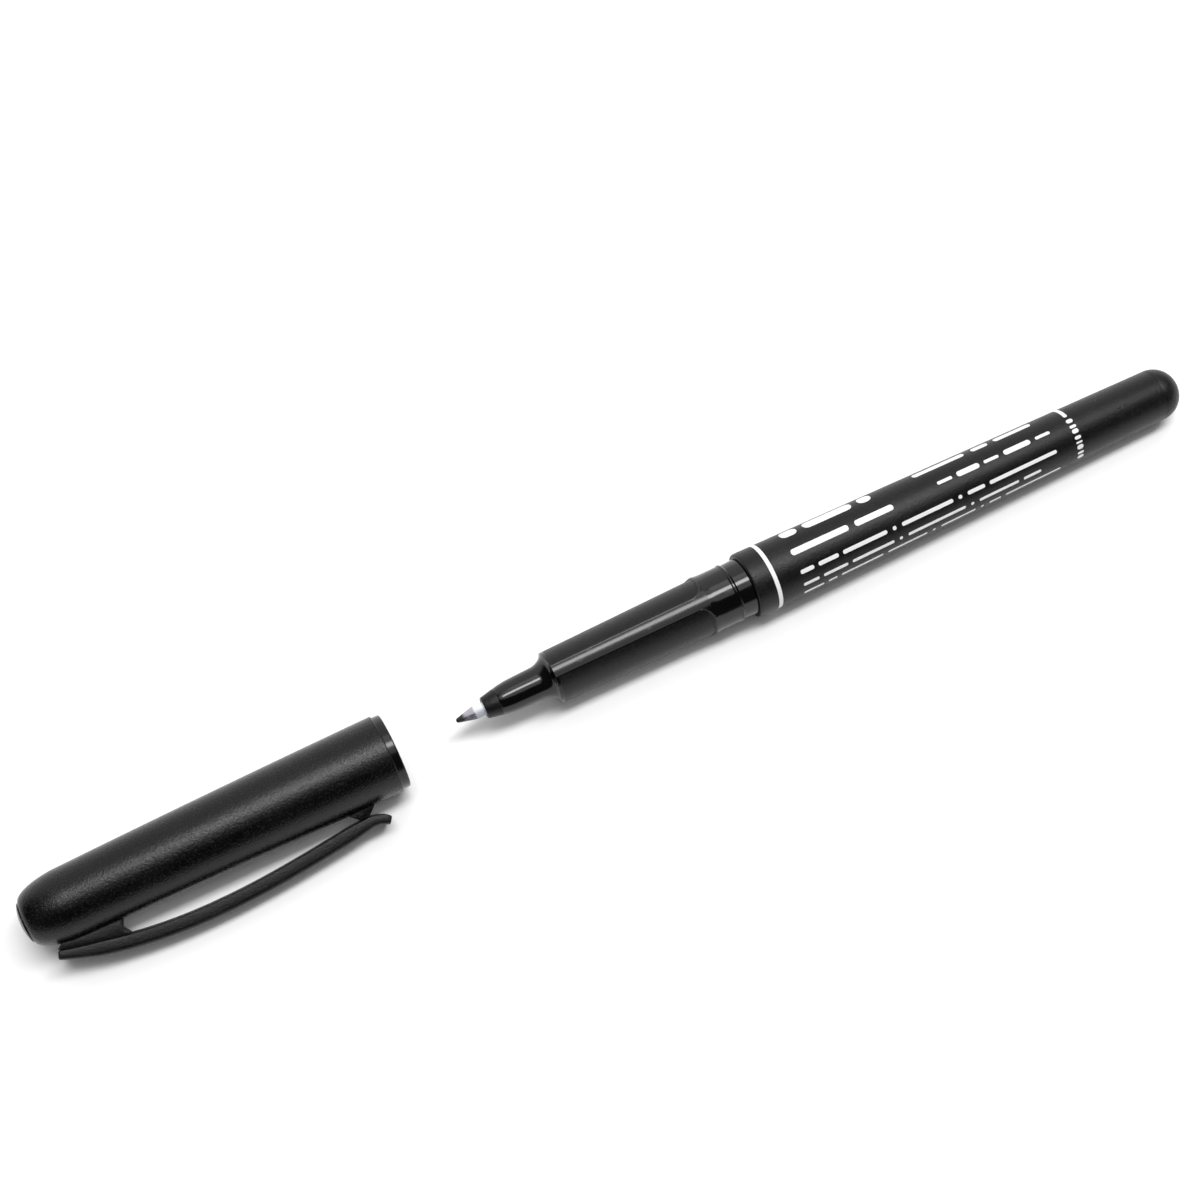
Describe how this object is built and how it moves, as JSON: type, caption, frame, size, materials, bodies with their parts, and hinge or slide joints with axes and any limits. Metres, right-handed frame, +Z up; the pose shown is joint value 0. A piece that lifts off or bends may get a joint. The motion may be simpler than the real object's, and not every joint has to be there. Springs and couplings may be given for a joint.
{
  "type": "permanent marker",
  "caption": "Slim round black marker lying uncapped: tapered barrel, soft three-sided grip, fine fibre nib, and a slide-on cap with a springy pocket clip lying ahead of the nib on the same axis",
  "frame": {"origin": "on the surface that the marker lies on, under the middle of the barrel's lowest facet", "axes": "+X runs along the lying marker from the cap and the nib towards the rear end, +Z is up, and the pocket clip lies on the -Y side"},
  "size_m": [0.1992, 0.0172, 0.0125],
  "materials": {
    "matt_black": "black moulded plastic with a fine spark-eroded grain",
    "gloss_black": "polished black moulded plastic",
    "nib_fibre": "bonded off-white fibre, dark with ink at its point",
    "ink_fibre": "fibre bundle soaked in black ink",
    "clear_film": "thin clear wrapping film",
    "white_ink": "white screen-printed ink"
  },
  "bodies": {
    "pen": {"barrel": "matt_black", "end_plug": "matt_black", "grip_section": "gloss_black", "nib": "nib_fibre", "ink_reservoir": "ink_fibre", "reservoir_film": "clear_film"},
    "cap": {"cap_shell": "matt_black", "inner_cap": "gloss_black", "cap_end_disc": "matt_black"},
    "clip": {"clip_strap": "matt_black"}
  },
  "joints": [
    {"name": "cap_slide", "type": "slide", "parent": "pen", "child": "cap", "axis": [0.9999, 0, -0.0143], "range_m": [0, 0.05975]},
    {"name": "clip_flex", "type": "hinge", "parent": "cap", "child": "clip", "pos_m": [-0.14394, -0.00831, 0.00343], "axis": [-0.0132, 0.3827, -0.9238], "range_deg": [0, 4.5], "stiffness_Nm_per_rad": 0.03}
  ]
}
